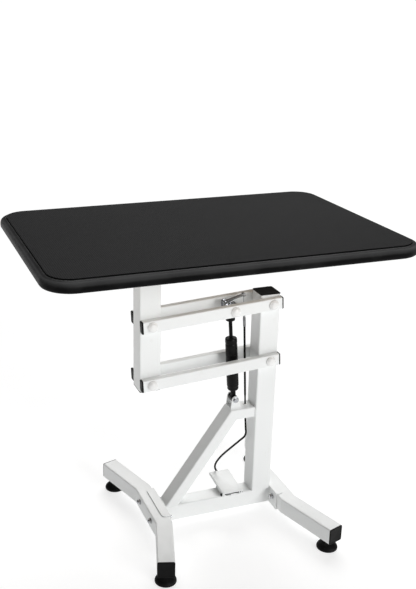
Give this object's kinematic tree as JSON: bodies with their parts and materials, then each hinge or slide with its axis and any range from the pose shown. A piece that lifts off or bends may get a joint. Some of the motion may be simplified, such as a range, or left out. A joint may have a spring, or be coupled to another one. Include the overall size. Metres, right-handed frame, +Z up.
{
  "type": "grooming table",
  "caption": "Grooming table with a black matted top on a white parallel-arm lift, lockable gas spring, foot pedal release and splayed legs on levelling feet.",
  "frame": {"origin": "on the floor under the middle of the top, table at its mid height", "axes": "+X along the top from the table column towards the fixed column, +Y across the top towards the rear, +Z up"},
  "size_m": [0.914, 0.61, 0.845],
  "materials": {
    "white_powder_coat": "satin powder coat",
    "black_plastic": "fine grained",
    "white_plastic": "smooth",
    "zinc_steel": "bright zinc plated",
    "spring_steel": "drawn steel",
    "ground_rod": "ground and plated",
    "black_paint": "gloss",
    "cable_jacket": "smooth jacket",
    "board": "raw board",
    "ribbed_rubber": "fine raised pattern",
    "trim_rubber": "satin moulded",
    "foot_rubber": "moulded, with a zinc stud"
  },
  "bodies": {
    "frame": {"base_beam": "white_powder_coat", "diagonal_brace": "white_powder_coat", "spring_stub": "white_powder_coat", "fixed_column": "white_powder_coat", "column_cap": "black_plastic", "saddle_brackets": "white_powder_coat", "left_leg": "white_powder_coat", "right_leg": "white_powder_coat", "leg_end_caps": "black_plastic", "leg_bolts": "zinc_steel", "leg_nuts": "zinc_steel", "foot_nuts": "zinc_steel", "spring_clevis": "white_powder_coat", "clevis_bolt": "zinc_steel", "column_bushes": "black_plastic", "pedal_bracket": "white_powder_coat", "bracket_screws": "zinc_steel", "pedal_pin": "zinc_steel", "pedal_spring": "spring_steel", "cable_ferrules": "white_plastic", "release_cable": "cable_jacket", "pedal_wire": "zinc_steel"},
    "pedal": {"pedal_plate": "white_powder_coat", "pedal_nipple": "zinc_steel"},
    "upper_arms": {"front_upper_arm": "white_powder_coat", "rear_upper_arm": "white_powder_coat", "upper_arm_caps": "black_plastic", "upper_pivot_shafts": "spring_steel", "trunnion_bolts": "zinc_steel", "upper_dome_caps": "white_plastic"},
    "lower_arms": {"front_lower_arm": "white_powder_coat", "rear_lower_arm": "white_powder_coat", "lower_arm_caps": "black_plastic", "lower_pivot_shafts": "spring_steel", "lower_dome_caps": "white_plastic"},
    "table": {"table_column": "white_powder_coat", "table_column_cap": "black_plastic", "table_column_bushes": "black_plastic", "support_rails": "white_powder_coat", "cross_bars": "white_powder_coat", "table_board": "board", "table_mat": "ribbed_rubber", "edge_trim": "trim_rubber", "board_screws": "zinc_steel"},
    "gas_cylinder": {"spring_cylinder": "black_paint", "spring_eye": "black_paint", "spring_gland": "black_paint"},
    "gas_rod": {"spring_rod": "ground_rod", "spring_piston": "spring_steel", "rod_collar": "black_paint", "release_head": "zinc_steel", "lever_pin": "zinc_steel", "cable_adjuster": "spring_steel", "lever_wire": "zinc_steel"},
    "release_lever": {"release_lever": "zinc_steel"},
    "valve_pin": {"valve_pin": "zinc_steel"},
    "front_left_foot": {"foot_front_left": "foot_rubber"},
    "rear_left_foot": {"foot_rear_left": "foot_rubber"},
    "front_right_foot": {"foot_front_right": "foot_rubber"},
    "rear_right_foot": {"foot_rear_right": "foot_rubber"}
  },
  "joints": [
    {"name": "lift", "type": "hinge", "parent": "frame", "child": "upper_arms", "pos_m": [0.187, 0, 0.635], "axis": [0, 1, 0], "range_deg": [-20, 24], "deforming": ["release_cable"]},
    {"name": "lower_arm", "type": "hinge", "parent": "frame", "child": "lower_arms", "pos_m": [0.187, 0, 0.476], "axis": [0, 1, 0], "range_deg": [-21, 25]},
    {"name": "table_level", "type": "hinge", "parent": "upper_arms", "child": "table", "pos_m": [-0.14233, 0, 0.614], "axis": [0, 1, 0], "range_deg": [-25, 21]},
    {"name": "spring_tilt", "type": "hinge", "parent": "frame", "child": "gas_cylinder", "pos_m": [0.1035, 0, 0.361], "axis": [0, 1, 0], "range_deg": [-1, 1]},
    {"name": "spring_stroke", "type": "slide", "parent": "gas_cylinder", "child": "gas_rod", "axis": [-0.0746, 0, 0.9972], "range_m": [-0.038, 0.045]},
    {"name": "pedal", "type": "hinge", "parent": "frame", "child": "pedal", "pos_m": [0.0955, -0.031, 0.082], "axis": [-1, 0, 0], "range_deg": [0, 6.5], "stiffness_Nm_per_rad": 8, "springref_deg": -8.59, "deforming": ["pedal_wire", "pedal_spring"]},
    {"name": "release_lever", "type": "hinge", "parent": "gas_rod", "child": "release_lever", "pos_m": [0.06757, 0, 0.6401], "axis": [0, 1, 0], "range_deg": [0, 11.5], "deforming": ["lever_wire"]},
    {"name": "valve_pin", "type": "slide", "parent": "gas_rod", "child": "valve_pin", "axis": [0.0746, 0, -0.9972], "range_m": [0, 0.0032]},
    {"name": "front_left_foot_level", "type": "slide", "parent": "frame", "child": "front_left_foot", "axis": [0, 0, -1], "range_m": [0, 0.01]},
    {"name": "rear_left_foot_level", "type": "slide", "parent": "frame", "child": "rear_left_foot", "axis": [0, 0, -1], "range_m": [0, 0.01]},
    {"name": "front_right_foot_level", "type": "slide", "parent": "frame", "child": "front_right_foot", "axis": [0, 0, -1], "range_m": [0, 0.01]},
    {"name": "rear_right_foot_level", "type": "slide", "parent": "frame", "child": "rear_right_foot", "axis": [0, 0, -1], "range_m": [0, 0.01]}
  ],
  "couplings": [
    {"joint": "lower_arm", "follows": "lift", "ratio": 1},
    {"joint": "table_level", "follows": "lift", "ratio": -1},
    {"joint": "spring_tilt", "follows": "lift", "ratio": 0.0182},
    {"joint": "spring_stroke", "follows": "lift", "m_per_rad": 0.1048},
    {"joint": "release_lever", "follows": "pedal", "ratio": 1.75},
    {"joint": "valve_pin", "follows": "pedal", "m_per_rad": 0.0263}
  ]
}
